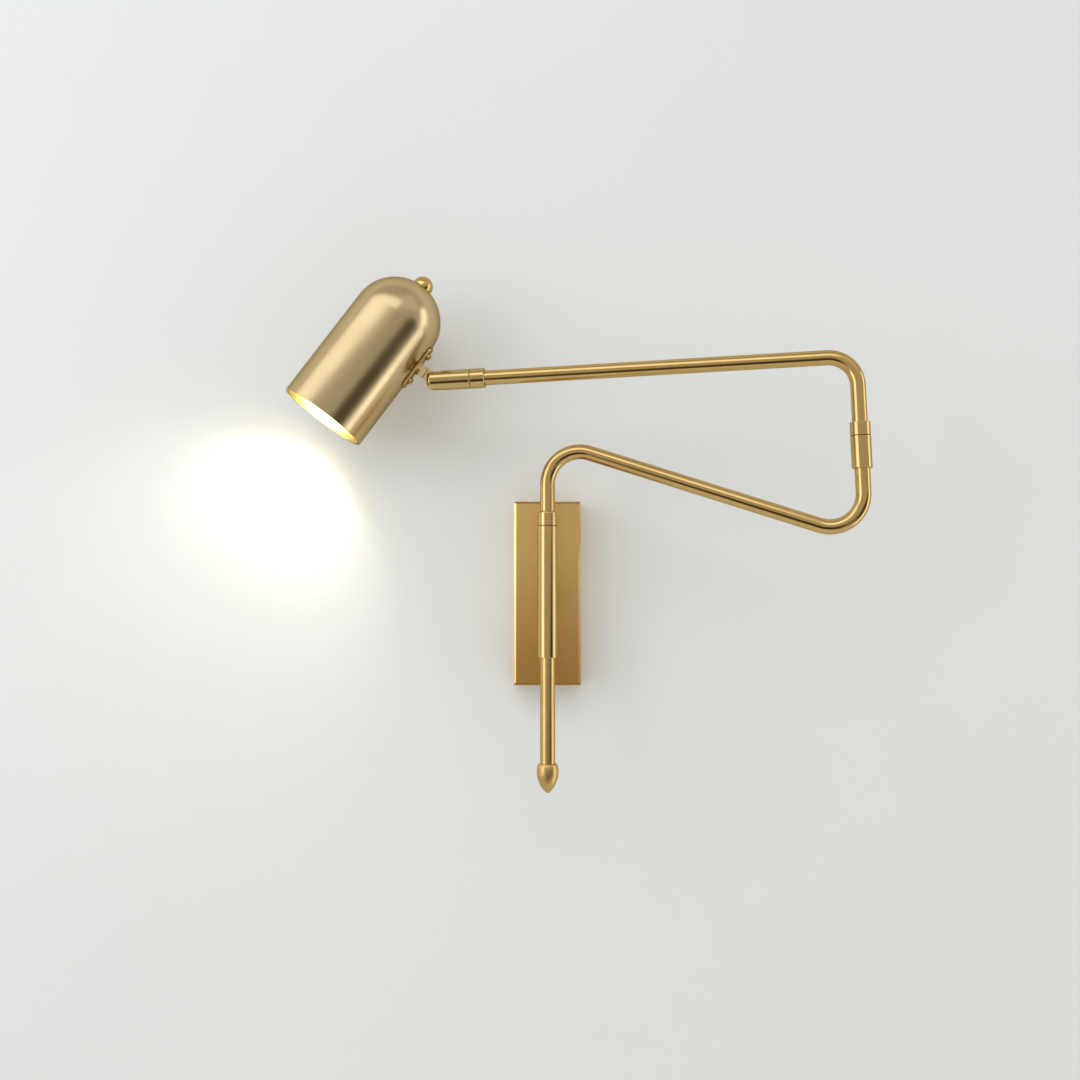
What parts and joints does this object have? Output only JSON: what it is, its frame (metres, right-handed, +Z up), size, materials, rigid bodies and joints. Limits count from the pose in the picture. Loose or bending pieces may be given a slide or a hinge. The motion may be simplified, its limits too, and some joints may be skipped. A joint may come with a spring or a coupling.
{
  "type": "adjustable wall lamp",
  "caption": "Adjustable brass wall lamp: a tall plate carries jointed tubular arms that swing flat against the wall, ending in a turning swivel and a tilting domed tube shade.",
  "frame": {"origin": "on the wall, at the centre of the plate's back, midway between the wall screws", "axes": "+Y into the wall, +Z up, +X to the right of a person who faces the wall"},
  "size_m": [0.4684, 0.1083, 0.4222],
  "materials": {
    "rod_brass": "satin, rubbed along the rod",
    "shade_brass": "fine satin, pale champagne",
    "plate_brass": "satin, brushed upright",
    "fitting_brass": "satin amber",
    "zinc_steel": "zinc plated",
    "dark_steel": "blackened",
    "dark_washer": "matt",
    "white_plastic": "matt",
    "cable_jacket": "smooth jacket",
    "holder_plastic": "moulded",
    "bulb_metal": "rolled thread",
    "opal_glass": "opal, warm white"
  },
  "bodies": {
    "base": {"wall_plate": "plate_brass", "mounting_bracket": "zinc_steel", "canopy_screws": "fitting_brass", "earth_screw": "zinc_steel", "terminal_block": "white_plastic", "terminal_screws": "zinc_steel", "threaded_nipple": "zinc_steel", "nipple_washer": "zinc_steel", "nipple_nut": "zinc_steel", "standoff_post": "rod_brass", "wall_sleeve": "rod_brass", "sleeve_bushes": "white_plastic", "shoulder_stop_screw": "dark_steel", "supply_cable": "cable_jacket"},
    "lower_arm": {"lower_arm_tube": "rod_brass", "finial": "rod_brass", "shoulder_collar": "rod_brass", "shoulder_washer": "dark_washer", "shoulder_collar_screw": "dark_steel", "elbow_sleeve": "rod_brass", "elbow_grip_screw": "dark_steel", "elbow_stop_screw": "dark_steel", "lower_arm_cable": "cable_jacket", "lower_cable_bushes": "white_plastic"},
    "upper_arm": {"upper_arm_tube": "rod_brass", "elbow_collar": "rod_brass", "elbow_washer": "dark_washer", "elbow_collar_screw": "dark_steel", "head_collar": "rod_brass", "head_stop_screw": "dark_steel", "upper_arm_cable": "cable_jacket", "upper_cable_bushes": "white_plastic"},
    "swivel": {"swivel_barrel": "rod_brass", "swivel_washer": "dark_washer", "pivot_pin": "dark_steel", "pivot_screw": "fitting_brass", "fork_washers": "dark_washer", "swivel_cable": "cable_jacket"},
    "head": {"knuckle": "fitting_brass", "knuckle_nut": "fitting_brass", "knuckle_lock_nut": "zinc_steel", "fixing_strip": "fitting_brass", "strip_screws": "fitting_brass", "strip_nuts": "zinc_steel", "shade": "shade_brass", "cap_nut": "rod_brass", "lamp_stud": "zinc_steel", "stud_nut": "zinc_steel", "lampholder_cap": "holder_plastic", "lampholder_shell": "holder_plastic", "centre_contact": "fitting_brass", "bulb_cap": "bulb_metal", "bulb_globe": "opal_glass", "head_cable": "cable_jacket"}
  },
  "joints": [
    {"name": "shoulder_swing", "type": "hinge", "parent": "base", "child": "lower_arm", "pos_m": [0, -0.07, 0], "axis": [0, 0, 1], "range_deg": [-173, 7]},
    {"name": "elbow_swing", "type": "hinge", "parent": "lower_arm", "child": "upper_arm", "pos_m": [0.2459, -0.10019, 0.12155], "axis": [-0.0346, 0.0043, 0.9994], "range_deg": [-165, 165]},
    {"name": "barrel_roll", "type": "hinge", "parent": "upper_arm", "child": "swivel", "pos_m": [-0.09159, -0.05875, 0.17342], "axis": [-0.9919, 0.1218, -0.0349], "range_deg": [-159, 171]},
    {"name": "head_tilt", "type": "hinge", "parent": "swivel", "child": "head", "pos_m": [-0.09159, -0.05875, 0.17342], "axis": [-0.1176, -0.9876, -0.1045], "range_deg": [-47.3, 122.7]}
  ]
}
